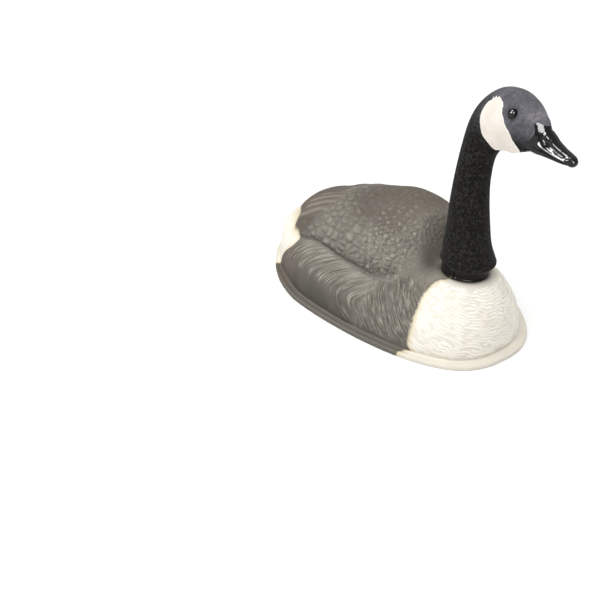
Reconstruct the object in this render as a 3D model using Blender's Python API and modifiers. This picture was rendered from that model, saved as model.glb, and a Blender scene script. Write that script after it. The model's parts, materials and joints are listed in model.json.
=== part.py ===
"""Goose shell decoy with a plug-in head, modelled piece by piece.

The bird faces -Y and stands on Z = 0.  The origin is on the ground, under the middle of
the whole decoy's length.  Every size is in metres.
"""
import math

import bmesh
import bpy
import numpy as np
from mathutils import Vector

# ---------------------------------------------------------------- driving dimensions
SHELL_LENGTH = 0.546        # rim, front to back
SHELL_WIDTH = 0.389         # rim, side to side
NECK_TO_FRONT = 0.109       # neck axis to the front of the rim
BILL_REACH = 0.134          # neck axis to the tip of the bill
COLLAR_HEIGHT = 0.112       # top of the flat collar that the neck stands on
WALL = 0.0025               # shell wall
FLANGE = 0.0155             # how far the rim stands out from the body wall
REAR_FLANGE = 0.0065        # the same round the rump
FLANGE_HEIGHT = 0.009
FLANGE_PROFILE = [(0.0, 0.0), (0.0, 0.004), (0.0022, 0.0075), (0.0055, FLANGE_HEIGHT)]
WALL_FOOT = 0.004           # least rise of the body wall above the flange

HEAD_WALL = 0.003
HOLE_RADIUS = 0.0335        # neck hole in the collar
COLLAR_RADIUS = 0.047       # flat ring round the hole
SHOULDER = 0.038            # how far out the flat collar blends into the body
RING_RADIUS = 0.0385        # visible band of the neck ring
RING_MARGIN = 0.002         # flat of the collar that shows round the ring
RING_TOP = 0.131
RING_BORE = 0.0285
SPIGOT_RADIUS = HOLE_RADIUS - 0.0007
SPIGOT_DEPTH = 0.008        # how far the plug reaches below the collar
PLUG_RISE = 0.010           # how far it reaches up into the neck
LUG_RADIUS = 0.0368         # bayonet lugs under the collar
LUG_WIDTH = 0.012
NOTCH_RADIUS = 0.0375       # ends of the slots that let the lugs through
EYE_RADIUS = 0.0062
GAP = 0.0003                # clearance between pieces that touch

OVERALL = SHELL_LENGTH - NECK_TO_FRONT + BILL_REACH
REAR_Y = OVERALL / 2
FRONT_Y = REAR_Y - SHELL_LENGTH
NECK_Y = FRONT_Y + NECK_TO_FRONT
WIDEST_Y = NECK_Y + 0.211   # station where the shell is widest

# Crest heights of the low body (breast, flanks, rump) and of the folded wings on top of
# it, and the wings' half width, as (distance behind the neck axis, value).
BODY_CREST = [(-0.0945, 0.015), (-0.079, 0.073), (-0.061, 0.094), (-0.040, 0.106),
              (0.0, 0.112), (0.061, 0.105), (0.105, 0.106), (0.147, 0.110),
              (0.223, 0.117), (0.254, 0.120), (0.281, 0.119), (0.310, 0.105),
              (0.350, 0.090), (0.390, 0.079), (0.415, 0.070), (0.422, 0.020)]
WING_CREST = [(0.030, 0.110), (0.062, 0.155), (0.090, 0.180), (0.121, 0.190),
              (0.171, 0.185), (0.221, 0.168), (0.271, 0.150), (0.321, 0.1315),
              (0.360, 0.1145), (0.388, 0.103), (0.408, 0.060)]
WING_HALF_WIDTH = [(0.030, 0.088), (0.061, 0.112), (0.105, 0.122), (0.147, 0.134),
                   (0.187, 0.143), (0.223, 0.150), (0.254, 0.154), (0.281, 0.153),
                   (0.310, 0.142), (0.351, 0.125), (0.385, 0.106), (0.408, 0.060)]
# Plan of the rim, ahead of and behind its widest station: superellipse powers along, across.
FRONT_POWERS, REAR_POWERS = (1.336, 2.66), (1.876, 2.05)
WING_BLEND = 0.002
# The body's cross-section is a rounded arch that gets boxier towards the rump.
ARCH_POWER = [(-0.020, 1.9), (0.030, 1.95), (0.090, 2.4), (0.281, 2.4), (0.330, 3.2), (0.400, 6.0)]
WING_POWER = 2.15

# Head and neck sections: forward of the neck axis, height, tilt of the section's normal
# above the horizontal (degrees), half height and half width.
HEAD_SECTIONS = [(0.0015, 0.1315, 90, 0.0390, 0.0390),
                 (0.0010, 0.1355, 90, 0.0435, 0.0435),
                 (-0.0005, 0.1425, 91, 0.0410, 0.0415),
                 (-0.0073, 0.1628, 93, 0.0363, 0.0371),
                 (-0.0129, 0.1984, 93, 0.0314, 0.0326),
                 (-0.0179, 0.2324, 92, 0.0281, 0.0297),
                 (-0.0200, 0.2677, 87, 0.0256, 0.0270),
                 (-0.0174, 0.3066, 76, 0.0258, 0.0257),
                 (-0.0065, 0.3408, 50, 0.0338, 0.0255),
                 (0.0122, 0.3589, 20, 0.0402, 0.0261),
                 (0.0328, 0.3629, 0, 0.0405, 0.0256),
                 (0.0510, 0.3590, -12, 0.0366, 0.0233),
                 (0.0657, 0.3545, -20, 0.0281, 0.0190),
                 (0.0759, 0.3507, -26, 0.0205, 0.0160)]
BILL_SECTIONS = [(0.0762, 0.3505, -26, 0.0195, 0.0148),
                 (0.0860, 0.3472, -30, 0.0170, 0.0137),
                 (0.0949, 0.3446, -32, 0.0137, 0.0125),
                 (0.1090, 0.3415, -33, 0.0102, 0.0110),
                 (0.1218, 0.3394, -33, 0.0077, 0.0095),
                 (0.1295, 0.3383, -34, 0.0058, 0.0070)]
EYE_FORWARD, EYE_HEIGHT, EYE_HALF_SPACING = 0.0430, 0.3788, 0.0254
EYE_DOME, EYE_STEM, EYE_SINK = 0.0032, 0.007, 0.0022
PEG_RADIUS, PEG_SOCKET_RADIUS = 0.0060, 0.0063
PEG_START = 0.004           # the peg starts inside the bill


def new_collection(name):
    collection = bpy.data.collections.new(name)
    bpy.context.scene.collection.children.link(collection)
    return collection


def plastic(name, colour, roughness):
    material = bpy.data.materials.new(name)
    material.use_nodes = True
    shader = material.node_tree.nodes["Principled BSDF"]
    shader.inputs["Base Color"].default_value = (*colour, 1.0)
    shader.inputs["Roughness"].default_value = roughness
    return material


def make_object(name, mesh, material, collection):
    obj = bpy.data.objects.new(name, mesh)
    collection.objects.link(obj)
    if material:
        mesh.materials.append(material)
    mesh.shade_smooth()
    mesh.set_sharp_from_angle(angle=math.radians(40))
    return obj


def mesh_from(bm, name):
    bmesh.ops.recalc_face_normals(bm, faces=bm.faces)
    mesh = bpy.data.meshes.new(name)
    bm.to_mesh(mesh)
    bm.free()
    return mesh


def cutter(obj, cutters):
    """Marks an object as a tool and not a piece."""
    for collection in obj.users_collection:
        collection.objects.unlink(obj)
    cutters.objects.link(obj)
    obj.hide_render = True
    obj.display_type = "WIRE"


def boolean(obj, tool, operation="DIFFERENCE"):
    modifier = obj.modifiers.new(operation.lower(), "BOOLEAN")
    modifier.operation = operation
    modifier.solver = "EXACT"
    modifier.object = tool


# ------------------------------------------------------------------ curves and outlines
def smooth_through(points, at):
    """Cubic curve through points, with no overshoot between them."""
    x, y = np.array(points, float).T
    step = np.diff(x)
    slope = np.diff(y) / step
    tangent = np.zeros(len(x))
    inner = slope[:-1] * slope[1:] > 0
    weight_a = 2 * step[1:] + step[:-1]
    weight_b = step[1:] + 2 * step[:-1]
    with np.errstate(divide="ignore", invalid="ignore"):
        mean = (weight_a + weight_b) / (weight_a / slope[:-1] + weight_b / slope[1:])
    tangent[1:-1] = np.where(inner, mean, 0)
    tangent[0], tangent[-1] = slope[0], slope[-1]
    at = np.clip(at, x[0], x[-1])
    i = np.clip(np.searchsorted(x, at) - 1, 0, len(step) - 1)
    t = (at - x[i]) / step[i]
    return ((2 * t**3 - 3 * t**2 + 1) * y[i] + (t**3 - 2 * t**2 + t) * step[i] * tangent[i]
            + (3 * t**2 - 2 * t**3) * y[i + 1] + (t**3 - t**2) * step[i] * tangent[i + 1])


def spline_rows(rows, count):
    """Rows of numbers run through by Catmull-Rom curves, one for each column."""
    rows = np.array(rows, float)
    padded = np.vstack([2 * rows[0] - rows[1], rows, 2 * rows[-1] - rows[-2]])
    result = []
    for at in np.linspace(0, len(rows) - 1, count):
        i = min(int(at), len(rows) - 2)
        t = at - i
        a, b, c, d = padded[i:i + 4]
        result.append(0.5 * (2 * b + (c - a) * t + (2 * a - 5 * b + 4 * c - d) * t**2
                             + (3 * b - a - 3 * c + d) * t**3))
    return result


def rim_outline(angle, inset=0.0):
    """Egg-shaped plan of the rim: blunt breast, fullest behind the middle, round rump."""
    side, along = math.cos(angle), math.sin(angle)
    length = WIDEST_Y - FRONT_Y if along < 0 else REAR_Y - WIDEST_Y
    power_y, power_x = FRONT_POWERS if along < 0 else REAR_POWERS
    x = (SHELL_WIDTH / 2 - inset) * math.copysign(abs(side) ** (2 / power_x), side)
    y = (length - inset) * math.copysign(abs(along) ** (2 / power_y), along)
    return x, WIDEST_Y + y


def flange_width(angle):
    """Width of the rim's flange, which narrows round the rump."""
    rearward = min(max((math.sin(angle) - 0.25) / 0.55, 0), 1)
    share = rearward * rearward * (3 - 2 * rearward)
    return FLANGE + (REAR_FLANGE - FLANGE) * share


def wall_half_width(y):
    """Half width of the body wall at a station, from the rim's own outline."""
    quarter = np.linspace(-math.pi / 2, math.pi / 2, 721)
    points = np.array([rim_outline(a, flange_width(a)) for a in quarter])
    return np.interp(y, points[:, 1], points[:, 0])


def arch(x, half_width, crest, power):
    """Height of a rounded arch across the body."""
    inside = np.clip(1 - np.abs(x / half_width) ** power, 0, 1)
    return crest * inside ** (1 / power)


def soft_max(a, b, blend):
    return 0.5 * (a + b + np.sqrt((a - b) ** 2 + blend**2))


def shell_height(x, y):
    """Height of the outside of the shell above the ground."""
    behind = y - NECK_Y
    body = arch(x, np.maximum(wall_half_width(y), 1e-4), smooth_through(BODY_CREST, behind),
                smooth_through(ARCH_POWER, behind))
    on_wing = (behind > WING_CREST[0][0]) & (behind < WING_CREST[-1][0])
    wing = arch(x, smooth_through(WING_HALF_WIDTH, behind), smooth_through(WING_CREST, behind),
                WING_POWER)
    height = np.where(on_wing, soft_max(body, wing, WING_BLEND), body)
    away = (np.hypot(x, behind) - COLLAR_RADIUS) / SHOULDER
    share = np.sin(math.pi / 2 * np.clip(away, 0, 1))
    return COLLAR_HEIGHT + (height - COLLAR_HEIGHT) * share


# ------------------------------------------------------------------------------ pieces
def build_shell(collection, cutters):
    """Body shell: one thin moulding, open underneath, with a rolled rim and neck hole."""
    around, rings = 64, 24
    crowded = 0.35              # share of the rings that crowd together at the wall's foot
    gain = 1 / (crowded**2 + 2 * crowded * (1 - crowded))
    bm = bmesh.new()
    columns = []
    for i in range(around):
        angle = 2 * math.pi * i / around
        column = []
        for inset, z in FLANGE_PROFILE:
            x, y = rim_outline(angle, inset)
            column.append(bm.verts.new((x, y, z)))
        wall_x, wall_y = rim_outline(angle, flange_width(angle))
        away = math.hypot(wall_x, wall_y - NECK_Y)
        out_x, out_y = wall_x / away, (wall_y - NECK_Y) / away
        t = np.linspace(0, 1, rings + 1)[1:]
        share = gain * np.where(t < crowded, t**2, crowded**2 + 2 * crowded * (t - crowded))
        radius = away + (COLLAR_RADIUS - away) * share
        x, y = out_x * radius, NECK_Y + out_y * radius
        height = np.maximum(shell_height(x, y), FLANGE_HEIGHT + WALL_FOOT)
        column += [bm.verts.new(point) for point in zip(x, y, height)]
        for radius in (RING_RADIUS + RING_MARGIN, HOLE_RADIUS):
            column.append(bm.verts.new((out_x * radius, NECK_Y + out_y * radius, COLLAR_HEIGHT)))
        columns.append(column)
    for i, column in enumerate(columns):
        beside = columns[(i + 1) % around]
        for j in range(len(column) - 1):
            bm.faces.new((column[j], beside[j], beside[j + 1], column[j + 1]))
    shell = make_object("body_shell", mesh_from(bm, "body_shell"),
                        plastic("grey_brown_shell", (0.155, 0.140, 0.112), 0.62), collection)
    solid = shell.modifiers.new("wall", "SOLIDIFY")
    solid.thickness = WALL
    solid.offset = -1
    solid.use_even_offset = False
    notch = block("bayonet_notches", (2 * NOTCH_RADIUS, LUG_WIDTH + 0.002, 0.03),
                  (0, NECK_Y, COLLAR_HEIGHT))
    cutter(notch, cutters)
    boolean(shell, notch)
    return shell


def block(name, size, centre):
    """Rectangular block round a centre point."""
    bm = bmesh.new()
    bmesh.ops.create_cube(bm, size=1)
    bmesh.ops.scale(bm, vec=size, verts=bm.verts)
    bmesh.ops.translate(bm, vec=centre, verts=bm.verts)
    obj = bpy.data.objects.new(name, mesh_from(bm, name))
    bpy.context.scene.collection.objects.link(obj)
    return obj


def turned(name, profile, steps=48):
    """Mesh of a profile, given as (radius, height), turned round the neck axis."""
    bm = bmesh.new()
    loops = []
    for i in range(steps):
        angle = 2 * math.pi * i / steps
        loops.append([bm.verts.new((r * math.cos(angle), NECK_Y + r * math.sin(angle), z))
                      for r, z in profile])
    for i, loop in enumerate(loops):
        beside = loops[(i + 1) % steps]
        for j in range(len(loop)):
            k = (j + 1) % len(loop)
            bm.faces.new((loop[j], beside[j], beside[k], loop[k]))
    return mesh_from(bm, name)


def build_neck_ring(collection, cutters):
    """Plug of the head: band over the collar, spigot through the hole, two lugs below."""
    seat = COLLAR_HEIGHT + GAP
    foot = COLLAR_HEIGHT - WALL - SPIGOT_DEPTH
    chamfer = 0.0008
    plug, plug_top = 0.0350, RING_TOP + PLUG_RISE
    profile = [(RING_BORE, foot), (SPIGOT_RADIUS, foot), (SPIGOT_RADIUS, seat),
               (RING_RADIUS - chamfer, seat), (RING_RADIUS, seat + chamfer),
               (RING_RADIUS, RING_TOP - GAP), (plug, RING_TOP - GAP),
               (plug - 0.0005, plug_top), (RING_BORE, plug_top)]
    ring = make_object("neck_ring", turned("neck_ring", profile),
                       plastic("gloss_black", (0.010, 0.010, 0.011), 0.25), collection)
    lug_top = COLLAR_HEIGHT - WALL - 0.0007
    lug_bottom = foot + 0.001
    lug_root = (RING_BORE + SPIGOT_RADIUS) / 2
    for end in (-1, 1):
        lug = block(f"lug_{end}", (LUG_WIDTH, LUG_RADIUS - lug_root, lug_top - lug_bottom),
                    (0, NECK_Y + end * (LUG_RADIUS + lug_root) / 2, (lug_top + lug_bottom) / 2))
        cutter(lug, cutters)
        boolean(ring, lug, "UNION")
    return ring


def loft(name, sections, around, along, open_end=False, end_bulge=0.0):
    """Skin over tilted elliptical sections in the plane X = 0."""
    bm = bmesh.new()
    loops = []
    for forward, height, tilt, half_height, half_width in spline_rows(sections, along):
        tilt = math.radians(tilt)
        loop = []
        for k in range(around):
            angle = 2 * math.pi * k / around
            rise = half_height * math.sin(angle)
            loop.append(bm.verts.new((half_width * math.cos(angle),
                                      NECK_Y - forward + rise * math.sin(tilt),
                                      height + rise * math.cos(tilt))))
        loops.append(loop)
    for loop, following in zip(loops, loops[1:]):
        for k in range(around):
            m = (k + 1) % around
            bm.faces.new((loop[k], loop[m], following[m], following[k]))
    forward, height, tilt = sections[-1][:3]
    tilt = math.radians(tilt)
    nose = bm.verts.new((0, NECK_Y - forward - end_bulge * math.cos(tilt),
                         height + end_bulge * math.sin(tilt)))
    for k in range(around):
        bm.faces.new((loops[-1][k], loops[-1][(k + 1) % around], nose))
    if not open_end:
        bm.faces.new(loops[0])
    return mesh_from(bm, name)


def rod(name, start, direction, length, radius, segments=20):
    """Round rod from a point along a direction."""
    bm = bmesh.new()
    bmesh.ops.create_cone(bm, cap_ends=True, segments=segments, radius1=radius, radius2=radius,
                          depth=length)
    bmesh.ops.translate(bm, vec=(0, 0, length / 2), verts=bm.verts)
    obj = bpy.data.objects.new(name, mesh_from(bm, name))
    obj.location = start
    obj.rotation_mode = "QUATERNION"
    obj.rotation_quaternion = direction.to_track_quat("Z", "Y")
    bpy.context.scene.collection.objects.link(obj)
    return obj


def bill_axis():
    tilt = math.radians(BILL_SECTIONS[0][2])
    return Vector((0, -math.cos(tilt), math.sin(tilt)))


def bill_root():
    forward, height = BILL_SECTIONS[0][:2]
    return Vector((0, NECK_Y - forward, height))


def build_head(collection, cutters):
    """Hollow head and neck, with a seat for the bill's peg and one for each eye."""
    mesh = loft("head_and_neck", HEAD_SECTIONS, 28, 30, open_end=True)
    head = make_object("head_and_neck", mesh, plastic("flocked_black", (0.013, 0.013, 0.014), 0.9),
                       collection)
    solid = head.modifiers.new("wall", "SOLIDIFY")
    solid.thickness = HEAD_WALL
    solid.offset = -1
    peg_hole = rod("bill_peg_hole", bill_root() + bill_axis() * PEG_START, -bill_axis(), 0.015,
                   PEG_SOCKET_RADIUS)
    cutter(peg_hole, cutters)
    boolean(head, peg_hole)
    for side in (-1, 1):
        centre = Vector((side * (EYE_HALF_SPACING + 0.003), NECK_Y - EYE_FORWARD, EYE_HEIGHT))
        hole = rod(f"eye_hole_{side}", centre, Vector((-side, 0, 0)), 0.013, EYE_RADIUS + GAP)
        cutter(hole, cutters)
        boolean(head, hole)
    return head


def build_bill(collection, cutters):
    mesh = loft("bill", BILL_SECTIONS, 24, 16, end_bulge=0.0055)
    bill = make_object("bill", mesh, plastic("gloss_black_bill", (0.008, 0.008, 0.009), 0.15),
                       collection)
    peg = rod("bill_peg", bill_root() + bill_axis() * PEG_START, -bill_axis(), 0.013, PEG_RADIUS)
    cutter(peg, cutters)
    boolean(bill, peg, "UNION")
    return bill


def build_eye(name, side, collection):
    """Domed eye on a short stem, pressed into its socket."""
    bm = bmesh.new()
    profile = [(EYE_RADIUS * math.cos(a), EYE_DOME * math.sin(a))
               for a in map(math.radians, (0, 25, 50, 70))]
    loops = []
    steps = 20
    for radius, out in [(EYE_RADIUS, -EYE_STEM)] + profile:
        loops.append([bm.verts.new((out, radius * math.cos(2 * math.pi * k / steps),
                                    radius * math.sin(2 * math.pi * k / steps)))
                      for k in range(steps)])
    for loop, following in zip(loops, loops[1:]):
        for k in range(steps):
            m = (k + 1) % steps
            bm.faces.new((loop[k], loop[m], following[m], following[k]))
    bm.faces.new(loops[0])
    tip = bm.verts.new((EYE_DOME, 0, 0))
    for k in range(steps):
        bm.faces.new((loops[-1][k], loops[-1][(k + 1) % steps], tip))
    if side < 0:
        bmesh.ops.scale(bm, vec=(-1, 1, 1), verts=bm.verts)
    eye = make_object(name, mesh_from(bm, name),
                      plastic("gloss_black_eye", (0.006, 0.005, 0.005), 0.08), collection)
    eye.location = (side * (EYE_HALF_SPACING - EYE_SINK), NECK_Y - EYE_FORWARD, EYE_HEIGHT)
    return eye


def main():
    for obj in list(bpy.data.objects):
        bpy.data.objects.remove(obj)
    decoy = new_collection("goose_shell_decoy")
    cutters = new_collection("cutters")
    build_shell(decoy, cutters)
    moving = [build_neck_ring(decoy, cutters), build_head(decoy, cutters), build_bill(decoy, cutters),
              build_eye("eye_right", -1, decoy), build_eye("eye_left", 1, decoy)]
    swivel = bpy.data.objects.new("head_turn_axis", None)
    swivel.location = (0, NECK_Y, COLLAR_HEIGHT)
    decoy.objects.link(swivel)
    bpy.context.view_layer.update()
    for obj in moving:
        obj.parent = swivel
        obj.matrix_parent_inverse = swivel.matrix_world.inverted()


main()
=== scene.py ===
"""Looks of the goose shell decoy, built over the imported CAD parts.

The bird faces -Y.  In the shape functions, u is the distance from the middle plane, v the
distance behind the neck axis and z the height.  Every length is in metres.
"""
import json
import math

import bpy
import numpy as np
from mathutils import Matrix, Vector


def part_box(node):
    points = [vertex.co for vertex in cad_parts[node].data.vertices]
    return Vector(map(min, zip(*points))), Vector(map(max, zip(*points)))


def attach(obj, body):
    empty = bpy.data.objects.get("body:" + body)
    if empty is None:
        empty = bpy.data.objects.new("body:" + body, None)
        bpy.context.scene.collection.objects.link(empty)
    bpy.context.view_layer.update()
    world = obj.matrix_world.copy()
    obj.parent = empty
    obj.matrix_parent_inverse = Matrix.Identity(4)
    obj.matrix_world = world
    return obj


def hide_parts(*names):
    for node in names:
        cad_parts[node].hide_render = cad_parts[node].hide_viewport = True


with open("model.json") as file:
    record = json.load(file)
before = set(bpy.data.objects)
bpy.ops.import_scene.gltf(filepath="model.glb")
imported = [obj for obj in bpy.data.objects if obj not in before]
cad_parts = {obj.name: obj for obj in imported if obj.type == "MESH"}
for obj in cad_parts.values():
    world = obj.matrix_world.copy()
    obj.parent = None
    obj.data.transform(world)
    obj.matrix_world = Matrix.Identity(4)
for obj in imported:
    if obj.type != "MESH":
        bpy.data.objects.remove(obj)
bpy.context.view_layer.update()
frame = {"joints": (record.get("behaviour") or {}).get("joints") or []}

# ---------------------------------------------------------------- sizes from the CAD
NECK_AXIS = Vector(frame["joints"][0]["pos_m"])
NECK_Y, COLLAR_HEIGHT = NECK_AXIS.y, NECK_AXIS.z
RIM_LOW, RIM_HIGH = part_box("body_shell")
FRONT_Y, REAR_Y = RIM_LOW.y, RIM_HIGH.y
HALF_WIDTH = RIM_HIGH.x
WIDEST_Y = NECK_Y + 0.211
RING_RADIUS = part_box("neck_ring")[1].x

WALL = 0.0025
FLANGE, REAR_FLANGE = 0.0155, 0.0065
COLLAR_RADIUS = 0.047
SHOULDER = 0.038            # width of the slope round the collar
HOLE_RADIUS = 0.0335
HEAD_WALL = 0.0030
RING_TOP = 0.131
RING_FOOT = COLLAR_HEIGHT - 0.0105
RING_BORE = 0.0285
RING_PLAY = 0.0007          # between the ring and the collar's hole
RING_STEP = 0.0026          # how far the ring's thicker stretch stands out
EYE_RADIUS, EYE_DOME = 0.0062, 0.0046

# The same curves as the CAD: (v, value).
BODY_CREST = [(-0.0945, 0.015), (-0.079, 0.073), (-0.061, 0.094), (-0.040, 0.106),
              (0.0, 0.112), (0.061, 0.105), (0.105, 0.106), (0.147, 0.110),
              (0.223, 0.117), (0.254, 0.120), (0.281, 0.119), (0.310, 0.105),
              (0.350, 0.090), (0.390, 0.079), (0.415, 0.070), (0.422, 0.020)]
WING_CREST = [(0.030, 0.110), (0.062, 0.155), (0.090, 0.180), (0.121, 0.190),
              (0.171, 0.185), (0.221, 0.168), (0.271, 0.150), (0.321, 0.1315),
              (0.360, 0.1145), (0.388, 0.103), (0.408, 0.060)]
WING_HALF_WIDTH = [(0.030, 0.088), (0.061, 0.112), (0.105, 0.122), (0.147, 0.134),
                   (0.187, 0.143), (0.223, 0.150), (0.254, 0.154), (0.281, 0.153),
                   (0.310, 0.142), (0.351, 0.125), (0.385, 0.106), (0.408, 0.060)]
ARCH_POWER = [(-0.020, 1.9), (0.030, 1.95), (0.090, 2.4), (0.281, 2.4), (0.330, 3.2), (0.400, 6.0)]
WING_POWER = 2.15
WING_BLEND = 0.002
BLUNT_TIP = 0.006           # half width over which the middle of the back runs straight across
# Sections of the neck, head and bill: (forward of the neck axis, height, tilt in degrees,
# half height, half width).
HEAD_SECTIONS = [(0.0015, 0.1315, 90, 0.0390, 0.0390),
                 (0.0010, 0.1355, 90, 0.0435, 0.0435),
                 (-0.0005, 0.1425, 91, 0.0410, 0.0415),
                 (-0.0073, 0.1628, 93, 0.0363, 0.0371),
                 (-0.0129, 0.1984, 93, 0.0314, 0.0326),
                 (-0.0179, 0.2324, 92, 0.0281, 0.0297),
                 (-0.0200, 0.2677, 87, 0.0256, 0.0270),
                 (-0.0174, 0.3066, 76, 0.0258, 0.0257),
                 (-0.0065, 0.3408, 50, 0.0338, 0.0255),
                 (0.0122, 0.3589, 20, 0.0402, 0.0261),
                 (0.0328, 0.3629, 0, 0.0405, 0.0256),
                 (0.0510, 0.3590, -12, 0.0366, 0.0233),
                 (0.0657, 0.3545, -20, 0.0281, 0.0190),
                 (0.0759, 0.3507, -26, 0.0205, 0.0160)]
BILL_SECTIONS = [(0.0762, 0.3505, -26, 0.0195, 0.0148),
                 (0.0860, 0.3472, -30, 0.0170, 0.0137),
                 (0.0949, 0.3446, -32, 0.0137, 0.0125),
                 (0.1090, 0.3415, -33, 0.0102, 0.0110),
                 (0.1218, 0.3394, -33, 0.0077, 0.0095),
                 (0.1295, 0.3383, -34, 0.0058, 0.0070)]
EYE_FORWARD, EYE_HEIGHT, EYE_HALF_SPACING = 0.0430, 0.3788, 0.0254

# ---------------------------------------------------------------- features of the surface
# Rim in cross-section, from its outer bottom edge to the foot of the wall: (inset, z).
RIM_TOP = [(0.0012, 0.0), (0.0002, 0.0008), (0.0, 0.0025), (0.0, 0.0055), (0.0006, 0.0074),
           (0.0018, 0.0086), (0.0034, 0.0090), (0.0050, 0.0086), (0.0062, 0.0077),
           (0.0078, 0.0071), (0.0100, 0.0070), (0.0125, 0.0071), (0.0148, 0.0075)]
RIM_UNDER = [(0.0172, 0.0050), (0.0130, 0.0045), (0.0090, 0.0045), (0.0055, 0.0055),
             (0.0034, 0.0060), (0.0026, 0.0045), (0.0026, 0.0)]
RIM_GROOVE_HEIGHT = 0.0078
# Crease between the wing and the flank pad below it.
CREASE_U = [(0.045, 0.088), (0.061, 0.095), (0.092, 0.111), (0.130, 0.120), (0.178, 0.129),
            (0.223, 0.131), (0.291, 0.138), (0.340, 0.128), (0.380, 0.105)]
CREASE_Z = [(0.045, 0.088), (0.061, 0.087), (0.092, 0.085), (0.130, 0.088), (0.178, 0.091),
            (0.223, 0.092), (0.291, 0.076), (0.340, 0.060), (0.380, 0.045)]
FLANK_PIVOT = 0.060         # u of the line round which the flank's arcs turn
# Moulded feathers: how far apart the ridges of a pattern are, and how high they stand.
BREAST_PITCH, BREAST_HEIGHT = 0.0050, 0.00125
FLANK_PITCH, FLANK_HEIGHT = 0.0110, 0.00125
FRONT_PITCH, FRONT_HEIGHT = 0.0085, 0.00190
BLADE_PITCH, BLADE_HEIGHT = 0.0190, 0.0022
RIB_PITCH, RIB_HEIGHT = 0.0080, 0.0006
PAD_HEIGHT = 0.0007         # swelling of the flank just below the crease
RUMP_SUNK, CREASE_DEPTH, POCKET_DEPTH = 0.0035, 0.0026, 0.0030
SMALL_FEATHER, LARGE_FEATHER = 0.0085, 0.0150
RIM_DUSK = 0.70             # how dark the rim is sprayed
# Blunt end of the bill beyond its last section: (share of that section, distance ahead).
BILL_END = [(0.93, 0.0016), (0.78, 0.0032), (0.52, 0.0045), (0.24, 0.0053)]
# The ring's thicker stretch, round its back: from and to, in degrees from the front.
RING_STEP_FROM, RING_STEP_TO = -76, 101
# Cream paint: v of its edge at a height on the breast, and its outline (v, z) on the rump.
BREAST_PAINT = [(0.0, -0.010), (0.009, -0.018), (0.018, -0.011), (0.031, -0.009),
                (0.053, -0.0045), (0.070, 0.0005), (0.083, 0.006), (0.095, 0.008),
                (0.105, 0.006), (0.110, 0.002), (0.1125, -0.005)]
RUMP_PAINT = [(0.326, -0.02), (0.322, 0.007), (0.316, 0.026), (0.304, 0.045), (0.288, 0.061),
              (0.277, 0.0775), (0.291, 0.0825), (0.318, 0.079), (0.340, 0.084), (0.360, 0.085),
              (0.400, 0.082), (0.470, 0.080), (0.470, -0.02)]
# White cheek patch in side view: (forward of the neck axis, height).
CHEEK_PATCH = [(0.005, 0.387), (0.003, 0.390), (0.0075, 0.3885), (0.008, 0.392),
               (0.0125, 0.390), (0.013, 0.393), (0.0175, 0.391), (0.024, 0.388),
               (0.027, 0.384), (0.0275, 0.380), (0.029, 0.376), (0.0325, 0.372),
               (0.036, 0.366), (0.040, 0.361), (0.045, 0.3565), (0.049, 0.351),
               (0.052, 0.346), (0.056, 0.340), (0.058, 0.333), (0.050, 0.322),
               (0.030, 0.314), (0.018, 0.320), (0.014, 0.329), (0.009, 0.335),
               (0.004, 0.340), (0.0, 0.3485), (-0.0035, 0.356), (-0.0057, 0.363),
               (-0.0057, 0.369), (-0.004, 0.376), (-0.001, 0.382)]

AROUND, OUTER_ROWS, INNER_ROWS = 580, 150, 34       # columns and rows of the shell
HEAD_AROUND, HEAD_ROWS = 144, 300
BILL_AROUND, BILL_ROWS, BILL_ROOT_ROWS = 160, 110, 26
RING_AROUND = 192
EYE_AROUND, EYE_ROWS = 48, 14

# ---------------------------------------------------------------- camera and light
CAMERA_PLACE = (-0.6392, -0.6721, 0.6150)
CAMERA_HEADING, CAMERA_PITCH = (0.5311, 0.8473, 0), 35.743      # the pitch is in degrees, down
CAMERA_LENS, CAMERA_SENSOR = 34.668, 36.0                       # millimetres
# Panels of light: (name, direction, spread in degrees, strength, seen only by reflections).
PANELS = [("sky_panel", (-0.34, -0.06, 1.0), 60, 2.85, False),
          ("front_reflection", (-0.44, -0.68, 0.58), 36, 7.0, True),
          ("top_reflection", (-0.30, 0.18, 0.93), 24, 7.5, True),
          ("side_reflection", (-0.88, 0.20, 0.42), 26, 7.0, True)]
WORLD_LIGHT = 0.45
FLOOR_REACH = 30


# ---------------------------------------------------------------- curves and noise
def smooth_through(points, at):
    """Cubic curve through points, with no overshoot between them."""
    x, y = np.array(points, float).T
    gap = np.diff(x)
    slope = np.diff(y) / gap
    tangent = np.zeros(len(x))
    weight_a = 2 * gap[1:] + gap[:-1]
    weight_b = gap[1:] + 2 * gap[:-1]
    with np.errstate(divide="ignore", invalid="ignore"):
        mean = (weight_a + weight_b) / (weight_a / slope[:-1] + weight_b / slope[1:])
    tangent[1:-1] = np.where(slope[:-1] * slope[1:] > 0, mean, 0)
    tangent[0], tangent[-1] = slope[0], slope[-1]
    at = np.clip(at, x[0], x[-1])
    i = np.clip(np.searchsorted(x, at) - 1, 0, len(gap) - 1)
    t = (at - x[i]) / gap[i]
    return ((2 * t**3 - 3 * t**2 + 1) * y[i] + (t**3 - 2 * t**2 + t) * gap[i] * tangent[i]
            + (3 * t**2 - 2 * t**3) * y[i + 1] + (t**3 - t**2) * gap[i] * tangent[i + 1])


def rows_at(rows, at):
    """Catmull-Rom curves through rows of numbers; the columns come first in the result."""
    rows = np.array(rows, float)
    padded = np.vstack([2 * rows[0] - rows[1], rows, 2 * rows[-1] - rows[-2]])
    at = np.asarray(at, float)
    i = np.clip(at.astype(int), 0, len(rows) - 2)
    t = (at - i)[..., None]
    a, b, c, d = (padded[i + k] for k in range(4))
    blend = 0.5 * (2 * b + (c - a) * t + (2 * a - 5 * b + 4 * c - d) * t**2
                   + (3 * b - a - 3 * c + d) * t**3)
    return np.moveaxis(blend, -1, 0)


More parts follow.
